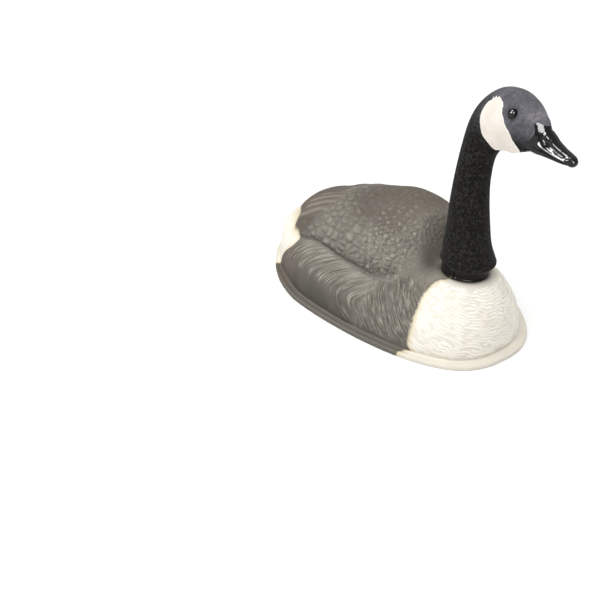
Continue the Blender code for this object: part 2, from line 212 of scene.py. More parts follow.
def step(low, high, at):
    """0 below low, 1 above high, and a smooth ramp between them."""
    t = np.clip((at - low) / (high - low), 0, 1)
    return t * t * (3 - 2 * t)


def bell(at, width):
    """1 at 0, falling off to nothing over about twice the width on both sides."""
    return np.exp(-(at / width) ** 2)


def scatter(*numbers):
    """A repeatable number between 0 and 1 for each set of whole numbers."""
    mixed = sum(n * k for n, k in zip(numbers, (127.1, 311.7, 74.7)))
    return np.modf(np.abs(np.sin(mixed) * 43758.5453))[0]


def noise(*at):
    """Smooth noise between 0 and 1, with features about one unit across."""
    cells = [np.floor(a) for a in at]
    ramps = [(a - c) ** 2 * (3 - 2 * (a - c)) for a, c in zip(at, cells)]
    total = 0
    for corner in np.ndindex(*(2,) * len(at)):
        share = 1
        for ramp, k in zip(ramps, corner):
            share = share * (ramp if k else 1 - ramp)
        total = total + share * scatter(*(c + k for c, k in zip(cells, corner)))
    return total


# ---------------------------------------------------------------- shape of the shell
def rim_outline(angle, inset=0.0):
    """Egg-shaped plan of the rim: blunt breast, fullest behind the middle, round rump."""
    side, along = np.cos(angle), np.sin(angle)
    front = along < 0
    length = np.where(front, WIDEST_Y - FRONT_Y, REAR_Y - WIDEST_Y)
    power_y = np.where(front, 1.336, 1.876)
    power_x = np.where(front, 2.66, 2.05)
    x = (HALF_WIDTH - inset) * np.sign(side) * np.abs(side) ** (2 / power_x)
    y = (length - inset) * np.sign(along) * np.abs(along) ** (2 / power_y)
    return x, WIDEST_Y + y


def even_angles(count):
    """Angles that divide the rim into equal lengths, starting at the breast."""
    dense = np.linspace(-math.pi / 2, 1.5 * math.pi, 40001)
    x, y = rim_outline(dense)
    length = np.concatenate([[0], np.cumsum(np.hypot(np.diff(x), np.diff(y)))])
    return np.interp(np.arange(count) / count * length[-1], length, dense)


def flange_width(angle):
    """Width of the rim's flange, which narrows round the rump."""
    return FLANGE + (REAR_FLANGE - FLANGE) * step(0.25, 0.80, np.sin(angle))


def wall_half_width(y):
    """Half width of the wall's foot, inside the flange."""
    quarter = np.linspace(-math.pi / 2, math.pi / 2, 1441)
    x, along = rim_outline(quarter, flange_width(quarter))
    return np.interp(y, along, x)


def arch(x, half_width, crest, power):
    """Height of a rounded arch; a higher power makes its shoulders fuller."""
    inside = np.clip(1 - np.abs(x / half_width) ** power, 0, 1)
    return crest * inside ** (1 / power)


def soft_max(a, b, blend):
    """The higher of two surfaces, with a soft edge where they meet."""
    return 0.5 * (a + b + np.sqrt((a - b) ** 2 + blend**2))


def shell_height(x, y):
    """Height of the plain outside of the shell above the ground."""
    v, x = y - NECK_Y, np.maximum(np.abs(x), BLUNT_TIP)
    body = arch(x, np.maximum(wall_half_width(y), 1e-4), smooth_through(BODY_CREST, v),
                smooth_through(ARCH_POWER, v))
    on_wing = (v > WING_CREST[0][0]) & (v < WING_CREST[-1][0])
    wing = arch(x, smooth_through(WING_HALF_WIDTH, v), smooth_through(WING_CREST, v),
                WING_POWER)
    height = np.where(on_wing, soft_max(body, wing, WING_BLEND), body)
    share = np.sin(math.pi / 2 * np.clip((np.hypot(x, v) - COLLAR_RADIUS) / SHOULDER, 0, 1))
    return COLLAR_HEIGHT + (height - COLLAR_HEIGHT) * share


# ---------------------------------------------------------------- relief of the shell
def ridge(phase, crest=0.62):
    """Feather-edge profile: a slow rise to the crest, then a quick drop."""
    f = phase - np.floor(phase)
    return step(0, crest, f) * (1 - step(crest, 1, f))


def flank_place(u, v, z):
    """Distance beyond the crease, down over the flank, and the share of the way to the rim."""
    crease_u, crease_z = smooth_through(CREASE_U, v), smooth_through(CREASE_Z, v)
    crease_turn = np.arctan2(crease_z, crease_u - FLANK_PIVOT)
    turn = np.arctan2(z, u - FLANK_PIVOT)
    beyond = (crease_turn - turn) * np.hypot(u - FLANK_PIVOT, z)
    return beyond, (crease_turn - turn) / (crease_turn - 0.05)


def flank_sweep(v, share):
    """How far back a flank stroke has swept: out of the crease, down, then forward again."""
    rise = np.clip(share / 0.55, 0, 1)
    back = 0.040 * step(0.03, 0.13, v) * np.sin(math.pi / 2 * rise)
    forward = (0.010 + 0.020 * (1 - step(0.10, 0.22, v))) * step(0.50, 1.05, share)
    return back - forward


def breast_relief(run, turn):
    """Wavy ridges hung round the neck like necklaces; run is the distance from the collar."""
    skewed = turn + 7 * run
    phase = ((run + 0.015 * turn**2) / BREAST_PITCH
             + 1.4 * noise(skewed * 5 + 9.3, run / 0.028 - turn * 2 + 5)
             + 0.9 * noise(skewed * 12 + 5.7, run / 0.011 - turn * 5 + 5))
    ring = np.floor(phase)
    strength = 0.2 + 0.8 * step(0.2, 0.65, noise(skewed * 10 + ring * 0.31, ring * 5.3))
    return BREAST_HEIGHT * strength * ridge(phase, 0.6) * step(0.0, 0.012, run)


def flank_relief(v, side, beyond, share):
    """Long strokes that sweep back and down over the flank, below a swelling along the crease."""
    swept = v - flank_sweep(v, share)
    phase = swept / FLANK_PITCH + 0.5 * noise(swept / 0.03, share * 2, side)
    stroke = np.floor(phase)
    strength = step(0.25, 0.7, noise(share * 3 + stroke * 0.37, stroke * 3.1, side))
    broad = FLANK_HEIGHT * (0.25 + 0.75 * strength) * ridge(phase, 0.7)
    pad = PAD_HEIGHT * bell(beyond - 0.007, 0.006)
    return (broad * (1 - step(0.30, 0.37, v)) + pad) * step(0.05, 0.09, v)


def front_lines(v, run):
    """Across and along the strokes that run down and forward in front of the flank pad."""
    return v + 1.1 * run + 3.5 * run**2, run - 1.4 * v


def front_relief(v, run, side):
    """Short strokes of the shoulder."""
    across, along = front_lines(v, run)
    phase = across / FRONT_PITCH + 1.2 * noise(across / 0.02, along / 0.03, side)
    stroke = np.floor(phase)
    strength = step(0.3, 0.65, noise(along / 0.024 + stroke * 0.4, stroke * 4.7, side))
    return FRONT_HEIGHT * strength * ridge(phase)


def blade_relief(u, v, side):
    """Long flight feathers at the rear, side by side, with dark gaps."""
    phase = (u - 0.18 * (v - 0.30)) / BLADE_PITCH
    blade = np.floor(phase)
    f = phase - blade
    end = 0.352 + 0.022 * (scatter(blade, side) - 0.5)
    edges = 1 - np.abs(2 * f - 1) ** 8
    return BLADE_HEIGHT * f * edges * (1 - step(end - 0.001, end + 0.003, v))


def paint_edge(v, z):
    """Signed distance into the cream paint of the breast or the rump."""
    return np.maximum(smooth_through(BREAST_PAINT, z) - v, inside_outline(RUMP_PAINT, v, z))


class ShellPlaces:
    """Points of the plain shell, and how much each kind of feather covers them, from 0 to 1."""

    def __init__(self, x, y, z, run, turn):
        u, v = np.abs(x), y - NECK_Y
        self.u, self.v, self.z, self.run, self.turn = u, v, z, run, turn
        self.side = np.where(x < 0, 0.0, 50.0)
        self.beyond, self.share = flank_place(u, v, z)
        self.cream = paint_edge(v, z)
        self.breast = step(-0.001, 0.003, self.cream) * (v < 0.1)
        self.rump = step(-0.002, 0.002, self.cream) * (v > 0.2)
        below = step(-0.001, 0.002, self.beyond)
        self.flank = below * step(0.065, 0.100, v)
        self.on_wing = (1 - step(-0.006, -0.001, self.beyond)) * step(0.045, 0.075, v)
        front = np.maximum(1 - step(0.045, 0.075, v), below * (1 - step(0.065, 0.100, v)))
        front = front * (1 - self.breast) * step(0.050, 0.070, u)
        self.front = front * (1 - 0.8 * step(0.088, 0.104, z))
        self.blades = (step(0.255, 0.290, v) * step(0.030, 0.040, u)
                       * (1 - step(0.098, 0.106, u)))
        self.rear = step(0.26, 0.31, v + 0.4 * (u - 0.09))
        self.smooth_rear = step(0.40, 0.70, self.share) * step(0.09, 0.16, v)
        self.pocket = (bell(self.beyond + 0.010, 0.009) * step(0.055, 0.070, v)
                       * (1 - step(0.10, 0.17, v)))
        self.above_rim = step(RIM_GROOVE_HEIGHT + 0.001, RIM_GROOVE_HEIGHT + 0.008, z)


def feather_pattern(at):
    """Height of the moulded feathers over the plain form."""
    height = breast_relief(at.run, at.turn) * at.breast
    height += front_relief(at.v, at.run, at.side) * at.front
    height += (flank_relief(at.v, at.side, at.beyond, at.share) * at.flank * (1 - at.rump)
               * (1 - 0.85 * at.smooth_rear))
    height += blade_relief(at.u, at.v, at.side) * at.blades * at.on_wing * (1 - at.rump)
    ribs = ridge((at.v - 0.6 * at.u) / RIB_PITCH + 0.6 * noise(at.v / 0.01, at.z / 0.02))
    return height + RIB_HEIGHT * ribs * at.rump


def shell_relief(at, pattern):
    """Height of the surface over the plain form: feathers, sunk rump, crease and pocket."""
    height = pattern - RUMP_SUNK * at.rump
    height -= (CREASE_DEPTH * bell(at.beyond + 0.0022, 0.0026) * step(0.06, 0.10, at.v)
               * (1 - at.rump))
    height -= POCKET_DEPTH * at.pocket
    return height * at.above_rim


def darker_grey_and_shade_mask(at):
    """Where the grey is darker: painted shade in the crease and the pocket, a painted shadow behind
    the neck, and darker towards the foot of the flank, over the rear of the wings and on the shoulder.
    """
    # Painted shadow behind the neck, painted shade along the crease and, below, in the pocket's
    # hollow.
    behind_neck = bell(np.hypot(at.u - 0.038, at.v - 0.040), 0.017)
    crease = bell(at.beyond + 0.004, 0.006) * step(0.07, 0.12, at.v)
    return np.maximum.reduce([(0.20 + 0.80 * step(0.05, 0.75, at.share)) * at.flank,
                              0.95 * at.rear * at.on_wing, at.smooth_rear * at.flank,
                              0.8 * crease, 0.95 * behind_neck, 0.60 * at.front,
                              0.55 * at.pocket])


def brown_mask(at):
    """Where the grey turns brown: over the top of the wings and the rear."""
    over_back = step(0.135, 0.172, at.z) * step(0.06, 0.12, at.v)
    behind_neck = bell(np.hypot(at.u, at.v - 0.02), 0.060) * (1 - at.breast)
    return np.maximum.reduce([over_back, at.blades, 0.7 * at.rear, 0.35 * behind_neck])


def scaly_mask(at):
    """Where the rounded wing feathers show."""
    mantle = 1 - step(0.030, 0.060, at.u + 0.35 * (at.v - 0.06))
    scaly = at.on_wing * (1 - 0.3 * mantle) * (1 - at.blades) * (1 - at.rump)
    scaly *= 1 - 0.35 * at.rear
    return scaly * (1 - 0.6 * step(0.158, 0.184, at.z) * (1 - step(0.16, 0.22, at.v)))


def shell_masks(at, pattern):
    """What the shell's paint needs to know at each point."""
    grey = 1 - step(-0.002, 0.002, at.cream)
    across, along = front_lines(at.v, at.run)
    swept = at.v - flank_sweep(at.v, at.share)
    return {
        "cream": at.cream, "relief": pattern * at.above_rim * 1000,
        "darker_grey_and_shade": darker_grey_and_shade_mask(at), "brown": brown_mask(at), "scaly": scaly_mask(at),
        "large": step(0.125, 0.165, at.v + 0.25 * (at.u - 0.08)),
        "stroked": at.front * grey * at.above_rim,
        "combed": at.flank * grey * at.above_rim * (1 - 0.9 * at.smooth_rear),
        "front_flow": np.stack([across / 0.0044, along / 0.026, at.side], -1),
        "flank_flow": np.stack([swept / 0.0030, at.share / 0.34, at.side], -1)}


# ---------------------------------------------------------------- meshes
def grid_normals(points):
    """Outward normals of a grid whose columns go all the way round."""
    around = np.roll(points, -1, 0) - np.roll(points, 1, 0)
    along = np.gradient(points, axis=1)
    normal = np.cross(around, along)
    return normal / np.maximum(np.linalg.norm(normal, axis=-1, keepdims=True), 1e-12)


def skin(name, points, loop=False, masks=None):
    """Object over a grid of points: columns close round, rows close too or are capped."""
    columns, rows = points.shape[:2]
    mesh = bpy.data.meshes.new(name)
    i, j = np.meshgrid(np.arange(columns), np.arange(rows if loop else rows - 1), indexing="ij")
    beside, above = (i + 1) % columns, (j + 1) % rows
    quads = np.stack([i * rows + j, beside * rows + j, beside * rows + above, i * rows + above], -1)
    faces = quads.reshape(-1, 4).tolist()
    vertices = points.reshape(-1, 3)
    if not loop:
        ends = points[:, [0, -1]].mean(0)
        low, high = len(vertices), len(vertices) + 1
        vertices = np.vstack([vertices, ends])
        for k in range(columns):
            m = (k + 1) % columns
            faces.append((m * rows, k * rows, low))
            faces.append((k * rows + rows - 1, m * rows + rows - 1, high))
    mesh.from_pydata(vertices.tolist(), [], faces)
    for label, values in (masks or {}).items():
        wide = values.ndim == 3
        layer = mesh.attributes.new(label, "FLOAT_VECTOR" if wide else "FLOAT", "POINT")
        flat = np.zeros((len(vertices), 3 if wide else 1), np.float32)
        flat[:columns * rows] = values.reshape(columns * rows, -1)
        layer.data.foreach_set("vector" if wide else "value", flat.reshape(-1))
    mesh.shade_smooth()
    obj = bpy.data.objects.new(name, mesh)
    bpy.context.scene.collection.objects.link(obj)
    return obj


def respaced(points, rows):
    """The same columns with their rows at equal distances."""
    result = np.empty((len(points), rows, points.shape[2]))
    for column, line in enumerate(points):
        length = np.concatenate([[0], np.cumsum(np.linalg.norm(np.diff(line[:, :3], axis=0), axis=1))])
        at = np.linspace(0, length[-1], rows)
        for axis in range(points.shape[2]):
            result[column, :, axis] = np.interp(at, length, line[:, axis])
    return result


def ring_of(radius, z, out_x, out_y):
    """Circle round the neck axis, with its points on the shell's columns."""
    return np.stack([out_x * radius, NECK_Y + out_y * radius, np.full(len(out_x), z)], -1)


def rim_rows(angle, profile):
    """The rim's cross-section, carried round the whole shell."""
    return np.stack([np.stack([*rim_outline(angle, inset * flange_width(angle) / FLANGE),
                               np.full(AROUND, z)], -1) for inset, z in profile], 1)


def plain_shell(out_x, out_y, away):
    """Outside of the shell without feathers: rows from the rim up to the collar."""
    share = np.linspace(0, 1, 700) ** 2.4
    radius = away[:, None] + (COLLAR_RADIUS - away)[:, None] * share
    x, y = out_x[:, None] * radius, NECK_Y + out_y[:, None] * radius
    z = np.maximum(shell_height(x, y), RIM_GROOVE_HEIGHT)
    return respaced(np.stack([x, y, z], -1), OUTER_ROWS)


def run_from_collar(base):
    """Distance of each point from the collar, along the surface."""
    gaps = np.linalg.norm(np.diff(base, axis=1), axis=2)[:, ::-1]
    return np.concatenate([np.zeros((AROUND, 1)), np.cumsum(gaps, axis=1)], axis=1)[:, ::-1]


def inner_skin(base, normals, height):
    """Plain inside of the shell, a wall's thickness below the outside and its sunk areas."""
    sunk = np.minimum(height, 0)
    sunk = np.minimum.reduce([np.roll(sunk, k, axis=1) for k in range(-6, 7)])
    rows = np.linspace(OUTER_ROWS - 1, 2, INNER_ROWS).astype(int)
    inner = (base + normals * (sunk[..., None] - WALL))[:, rows]
    inner[:, 0, 2] = COLLAR_HEIGHT - WALL
    return inner


def spread_masks(masks, rim, rows):
    """The masks of the outside, carried on over the rim before it and the inside after it."""
    before, after = rim.shape[1], rows - rim.shape[1] - OUTER_ROWS
    for label, values in masks.items():
        spread = [(0, 0), (before, after)] + [(0, 0)] * (values.ndim - 2)
        masks[label] = np.pad(values, spread, mode="edge")
    masks["cream"][:, :before] = paint_edge(rim[..., 1] - NECK_Y, 0 * rim[..., 2])
    masks["inside"] = np.zeros((AROUND, rows))
    masks["inside"][:, before + OUTER_ROWS + 1:] = 1
    for label in ("scaly", "stroked", "combed", "relief"):
        masks[label][:, :before] = 0
    masks["darker_grey_and_shade"][:, :before] = RIM_DUSK
    return masks


def build_shell():
    """The body: outer skin with its feathers, rim, neck hole and plain inner skin."""
    angle = even_angles(AROUND)
    foot_x, foot_y = rim_outline(angle, flange_width(angle))
    away = np.hypot(foot_x, foot_y - NECK_Y)
    out_x, out_y = foot_x / away, (foot_y - NECK_Y) / away
    base = plain_shell(out_x, out_y, away)
    normals = grid_normals(base)
    turn = np.arctan2(out_x, -out_y)[:, None]
    at = ShellPlaces(*np.moveaxis(base, -1, 0), run_from_collar(base), turn)
    pattern = feather_pattern(at)
    height = shell_relief(at, pattern)
    outer = base + normals * height[..., None]
    outer[:, :, 2] = np.maximum(outer[:, :, 2], RIM_GROOVE_HEIGHT)

    rim, under = rim_rows(angle, RIM_TOP), rim_rows(angle, RIM_UNDER)
    collar = np.stack([ring_of(RING_RADIUS + 0.003, COLLAR_HEIGHT, out_x, out_y),
                       ring_of(HOLE_RADIUS, COLLAR_HEIGHT, out_x, out_y),
                       ring_of(HOLE_RADIUS, COLLAR_HEIGHT - WALL, out_x, out_y)], 1)
    inner = inner_skin(base, normals, height)
    points = np.concatenate([rim, outer, collar, inner, under], 1)
    masks = spread_masks(shell_masks(at, pattern), rim, points.shape[1])
    return skin("body_shell_look", points, loop=True, masks=masks)


def on_section(sections, at, angle, lift=0.0):
    """Points on tilted elliptical sections, moved out by lift."""
    forward, height, tilt, half_height, half_width = rows_at(sections, at)
    tilt = np.radians(tilt)
    rise = (half_height + lift) * np.sin(angle)
    return np.stack([(half_width + lift) * np.cos(angle), NECK_Y - forward + rise * np.sin(tilt),
                     height + rise * np.cos(tilt)], -1)


def inside_outline(outline, x, y):
    """Signed distance to an outline, positive inside it."""
    outline = np.array(outline)
    nearest = np.full(x.shape, np.inf)
    inside = np.zeros(x.shape, bool)
    for (ax, ay), (bx, by) in zip(outline, np.roll(outline, -1, 0)):
        ex, ey = bx - ax, by - ay
        t = np.clip(((x - ax) * ex + (y - ay) * ey) / (ex * ex + ey * ey), 0, 1)
        nearest = np.minimum(nearest, np.hypot(x - ax - t * ex, y - ay - t * ey))
        crosses = (ay > y) != (by > y)
        with np.errstate(divide="ignore", invalid="ignore"):
            inside ^= crosses & (x < ax + (y - ay) * ex / ey)
    return np.where(inside, nearest, -nearest)


def build_head():
    """Neck and head: flocked skin, an open foot and the hollow's first stretch."""
    angle = 2 * math.pi * np.arange(HEAD_AROUND) / HEAD_AROUND
    at = np.linspace(0, len(HEAD_SECTIONS) - 1, HEAD_ROWS)
    outer = on_section(HEAD_SECTIONS, at[None, :], angle[:, None])
    normals = grid_normals(outer)
    forward, height = NECK_Y - outer[..., 1], outer[..., 2]
    on_head = height > 0.3
    from_eye = np.hypot(forward - EYE_FORWARD, height - EYE_HEIGHT)
    sideways = step(0.008, 0.016, np.abs(outer[..., 0]))
    socket, lid = bell(from_eye, 0.0105) * sideways, bell(from_eye - 0.0105, 0.003) * sideways
    patch = inside_outline(CHEEK_PATCH, forward, height)
    lift = 0.0006 * lid - 0.0012 * socket + 0.0007 * step(-0.001, 0.002, patch) * on_head
    outer = outer + normals * lift[..., None]

    # Rings of the hollow: (height above the foot, wall there), from the top one down.
    rings = [(0.0445, HEAD_WALL), (0.0300, HEAD_WALL), (0.0150, HEAD_WALL), (0.0020, HEAD_WALL),
             (0.0, 0.0016)]
    inner = [on_section(HEAD_SECTIONS, np.interp(rise, [0, 0.0115, 0.0353], [0, 2, 3]), angle,
                        -wall) for rise, wall in rings]
    points = np.concatenate([np.stack(inner, 1), outer], 1)

    away_from_patch = -0.02
    # Greyer over the crown and the face than over the neck and nape.
    greyer_crown_and_face = step(0.335, 0.37, height) * step(-0.030, 0.018, forward)
    worn = bell(forward - 0.069, 0.009) * bell(height - 0.381, 0.008)
    patch = np.where(on_head, patch, away_from_patch)
    masks = {label: np.pad(values, [(0, 0), (len(rings), 0)], constant_values=inside)
             for label, values, inside in (("worn", worn, 0), ("patch", patch, away_from_patch),
                                           ("greyer_crown_and_face", greyer_crown_and_face, 0))}
    return skin("head_and_neck_look", points, masks=masks)


def bill_lift(angle, at):
    """Ridges and hollows of the bill: at runs from 0, its base, to 1, its tip."""
    up = np.degrees(np.arcsin(np.sin(angle)))
    mid = step(0.02, 0.14, at) * (1 - step(0.62, 0.85, at))
    lift = 0.0010 * bell(up - 58, 9) * step(0.0, 0.1, at) * (1 - step(0.75, 0.95, at))
    lift -= 0.0021 * bell(up - 33, 15) * mid
    lift += 0.0009 * bell(up - 4, 9) * step(0.05, 0.2, at) * (1 - step(0.85, 1.0, at))
    lift -= 0.0010 * bell(up + 22, 5) * step(0.0, 0.08, at) * (1 - step(0.88, 1.0, at))
    lift += 0.0004 * bell(up + 38, 8)
    lift -= 0.0011 * bell(up + 60, 6) * step(0.1, 0.2, at) * (1 - step(0.8, 0.95, at))
    lift -= 0.0024 * bell(up - 30, 7) * bell(at - 0.33, 0.055)
    lift += 0.0006 * bell(up - 40, 9) * bell(at - 0.22, 0.06)
    nail = step(0.80, 0.86, at) * (1 - step(0.97, 1.0, at)) * step(20, 45, up)
    return lift + 0.0007 * nail


def build_bill():
    """Glossy bill; its base runs back over the face in a point on each side."""
    angle = 2 * math.pi * np.arange(BILL_AROUND) / BILL_AROUND
    up = np.degrees(np.arcsin(np.sin(angle)))
    reach = 0.14 + 0.20 * step(-80, -20, up) * (1 - step(60, 88, up))
    reach = reach + 0.83 * bell(up - 46, np.where(up < 46, 11, 17))
    share = np.linspace(0, 1, BILL_ROOT_ROWS)
    back = len(HEAD_SECTIONS) - 1 - reach[:, None] * (1 - share[None, :])
    rise = np.interp(share, [0, 0.06, 0.14, 1], [-0.0014, 0.0002, 0.0005, 0.0001])
    root = on_section(HEAD_SECTIONS, back, angle[:, None], rise[None, :])

    at = np.linspace(0.03, 1, BILL_ROWS)
    body = on_section(BILL_SECTIONS, (at * (len(BILL_SECTIONS) - 1))[None, :], angle[:, None])
    body = body + grid_normals(body) * bill_lift(angle[:, None], at[None, :])[..., None]

    forward, height, tilt = BILL_SECTIONS[-1][:3]
    tilt = math.radians(tilt)
    centre = np.array([0, NECK_Y - forward, height])
    ahead = np.array([0, -math.cos(tilt), math.sin(tilt)])
    tip = [(centre + (body[:, -1] - centre) * shrink + ahead * push)[:, None]
           for shrink, push in BILL_END]
    return skin("bill_look", np.concatenate([root, body] + tip, 1))


def build_ring():
    """Plug of the head: recessed band, with a thicker stretch round the back."""
    angle = 2 * math.pi * np.arange(RING_AROUND) / RING_AROUND
    facing = np.degrees(np.arctan2(np.cos(angle), -np.sin(angle)))
    recessed = (step(RING_STEP_FROM - 1, RING_STEP_FROM + 1, facing)
                * (1 - step(RING_STEP_TO - 1, RING_STEP_TO + 1, facing)))
    band = RING_RADIUS - RING_STEP * recessed
    seat, top, mouth = COLLAR_HEIGHT + 0.0003, RING_TOP + 0.0005, RING_TOP + 0.010
    bore, spigot = RING_BORE + 0 * band, HOLE_RADIUS - RING_PLAY + 0 * band
    profile = [(bore, RING_FOOT), (spigot, RING_FOOT), (spigot, seat),
               (band - 0.0010, seat), (band - 0.0002, seat + 0.0003), (band, seat + 0.0012),
               (band, seat + 0.0030), (band - 0.0003, seat + 0.0034),
               (band - 0.0003, seat + 0.0085), (band, seat + 0.0092),
               (band, top - 0.0010), (band - 0.0008, top), (0.0350 + 0 * band, top),
               (0.0345 + 0 * band, mouth), (bore, mouth)]
    points = np.stack([np.stack([r * np.cos(angle), NECK_Y + r * np.sin(angle),
                                 np.full(RING_AROUND, z)], -1) for r, z in profile], 1)
    ring = skin("neck_ring_look", points, loop=True)
    ring.data.set_sharp_from_angle(angle=math.radians(35))
    return ring


def build_eye(name, side):
    """Domed eye with a low lip where it enters the face."""
    profile = [(EYE_RADIUS, -0.0065), (EYE_RADIUS, -0.0010)]
    profile += [(EYE_RADIUS * math.cos(a), EYE_DOME * math.sin(a))
                for a in np.linspace(0, math.radians(84), EYE_ROWS)]
    angle = 2 * math.pi * np.arange(EYE_AROUND) / EYE_AROUND * side
    centre = Vector((side * (EYE_HALF_SPACING - 0.0022), NECK_Y - EYE_FORWARD, EYE_HEIGHT))
    points = np.stack([np.stack([np.full(EYE_AROUND, centre.x + side * out),
                                 centre.y + r * np.cos(angle), centre.z + r * np.sin(angle)], -1)
                       for r, out in profile], 1)
    return skin(name, points)


# ---------------------------------------------------------------- materials
class Finish:
    """A material and short names for wiring its nodes."""

    def __init__(self, name):
        self.material = bpy.data.materials.new(name)
        self.material.use_nodes = True
        self.nodes = self.material.node_tree.nodes
        self.links = self.material.node_tree.links
        self.shader = self.nodes["Principled BSDF"]

    def node(self, kind, inputs=None, **settings):
        node = self.nodes.new(kind)
        for key, value in settings.items():
            setattr(node, key, value)
        for key, value in (inputs or {}).items():
            if isinstance(value, bpy.types.NodeSocket):
                self.links.new(value, node.inputs[key])
            else:
                node.inputs[key].default_value = value
        return node

    def mask(self, name, output="Fac"):
        return self.node("ShaderNodeAttribute", attribute_name=name).outputs[output]

    def place(self, stretch=(1, 1, 1)):
        place = self.node("ShaderNodeTexCoord").outputs["Object"]
        return self.node("ShaderNodeMapping", {"Vector": place, "Scale": stretch}).outputs["Vector"]

    def noise(self, scale, detail=3.0, stretch=(1, 1, 1), roughness=0.5):
        return self.node("ShaderNodeTexNoise", {"Vector": self.place(stretch), "Scale": scale,
                                                "Detail": detail, "Roughness": roughness}
                         ).outputs["Fac"]

    def ramp(self, value, low, high, start=0.0, end=1.0):
        """Maps low..high of a value to start..end, smoothly."""
        return self.node("ShaderNodeMapRange",
                         {"Value": value, "From Min": low, "From Max": high, "To Min": start,
                          "To Max": end}, interpolation_type="SMOOTHSTEP").outputs["Result"]

    def sum(self, a, b, operation="ADD"):
        return self.node("ShaderNodeMath", {0: a, 1: b}, operation=operation).outputs[0]

    def mix(self, share, a, b, blend="MIX"):
        node = self.nodes.new("ShaderNodeMix")
        node.data_type, node.blend_type = "RGBA", blend
        for socket, value in ((0, share), (6, a), (7, b)):
            if isinstance(value, bpy.types.NodeSocket):
                self.links.new(value, node.inputs[socket])
            elif socket:
                node.inputs[socket].default_value = (*value, 1.0)
            else:
                node.inputs[socket].default_value = value
        return node.outputs[2]

    def bump(self, value, distance, strength=1.0, before=None):
        inputs = {"Height": value, "Distance": distance, "Strength": strength}
        if before is not None:
            inputs["Normal"] = before
        return self.node("ShaderNodeBump", inputs).outputs["Normal"]

    def done(self, colour=None, normal=None, **values):
        for name, value in values.items():
            label = name.replace("_", " ").title().replace("Ior", "IOR")
            self.shader.inputs[label].default_value = value
        if colour is not None:
            self.links.new(colour, self.shader.inputs["Base Color"])
        if normal is not None:
            self.links.new(normal, self.shader.inputs["Normal"])
        return self.material


def srgb(red, green, blue):
    """Linear colour of an 8-bit screen colour."""
    return tuple(((c / 255 + 0.055) / 1.055) ** 2.4 if c > 10 else c / 255 / 12.92
                 for c in (red, green, blue))


# The third grey is paler: painted highlight on crests and feather tips, and pale strokes.
GREY_LIGHT, GREY_DARK, GREY_PALE_AND_HIGHLIGHT = srgb(146, 141, 129), srgb(72, 69, 59), srgb(176, 171, 159)
WING_BROWN, WING_PINK = srgb(104, 92, 82), srgb(116, 105, 101)
CREAM, CREAM_SHADE, CREAM_WARM = srgb(233, 229, 219), srgb(200, 194, 182), srgb(225, 216, 198)
EDGE_TAN, EDGE_BROWN = srgb(208, 190, 146), srgb(82, 72, 64)
INSIDE_GREY = srgb(118, 114, 104)
FLOCK_BLACK, FLOCK_GREY, FLOCK_BROWN = srgb(10, 10, 9), srgb(46, 45, 43), srgb(28, 20, 18)
FACE_DARK, FACE_MID, FACE_LIGHT = srgb(66, 65, 68), srgb(88, 87, 92), srgb(106, 104, 111)
FACE_WORN = srgb(150, 147, 148)
PATCH_LIGHT, PATCH_MID = srgb(240, 234, 225), srgb(232, 224, 213)
PATCH_DARK, PATCH_EDGE = srgb(214, 203, 190), srgb(255, 252, 246)
BILL_BLACK, RING_BLACK, EYE_BLACK = srgb(12, 11, 11), srgb(14, 12, 11), srgb(12, 10, 10)


def feather_cells(look, size):
    """Height of rounded feathers of a size, highest towards the rear tip."""
    place = look.place((1 / size, 0.8 / size, 1 / size))
    inputs = {"Vector": place, "Scale": 1.0, "Randomness": 0.85}
    cell = look.node("ShaderNodeTexVoronoi", inputs)
    gap = look.node("ShaderNodeTexVoronoi", inputs, feature="DISTANCE_TO_EDGE").outputs["Distance"]
    rearward, centre = (look.node("ShaderNodeSeparateXYZ", {0: at}).outputs["Y"]
                        for at in (place, cell.outputs["Position"]))
    return look.sum(look.ramp(gap, 0.0, 0.34), look.sum(rearward, centre, "SUBTRACT"))


def feather_scales(look):
    """Small and large wing feathers: the height of each, and where it shows."""
    scaly, large = look.mask("scaly"), look.mask("large")
    lumps = look.sum(look.noise(150, 3, roughness=0.65), 0.5, "SUBTRACT")
    small_height = look.sum(look.sum(feather_cells(look, SMALL_FEATHER), 0.6, "MULTIPLY"),
                            look.sum(lumps, 2.6, "MULTIPLY"))
    large_height = feather_cells(look, LARGE_FEATHER)
    small_share = look.sum(look.sum(1.0, large, "SUBTRACT"), scaly, "MULTIPLY")
    large_share = look.sum(large, scaly, "MULTIPLY")
    return (small_height, small_share), (large_height, large_share)


def fine_strokes(look):
    """Strokes that follow the feathers of the flank and of the shoulder."""
    strokes = []
    for flow, share in (("flank_flow", "combed"), ("front_flow", "stroked")):
        inputs = {"Vector": look.mask(flow, "Vector"), "Scale": 1.0, "Detail": 1.0}
        streak = look.node("ShaderNodeTexNoise", inputs).outputs["Fac"]
        strokes.append(look.sum(look.sum(streak, 0.5, "SUBTRACT"), look.mask(share), "MULTIPLY"))
    return look.sum(*strokes)


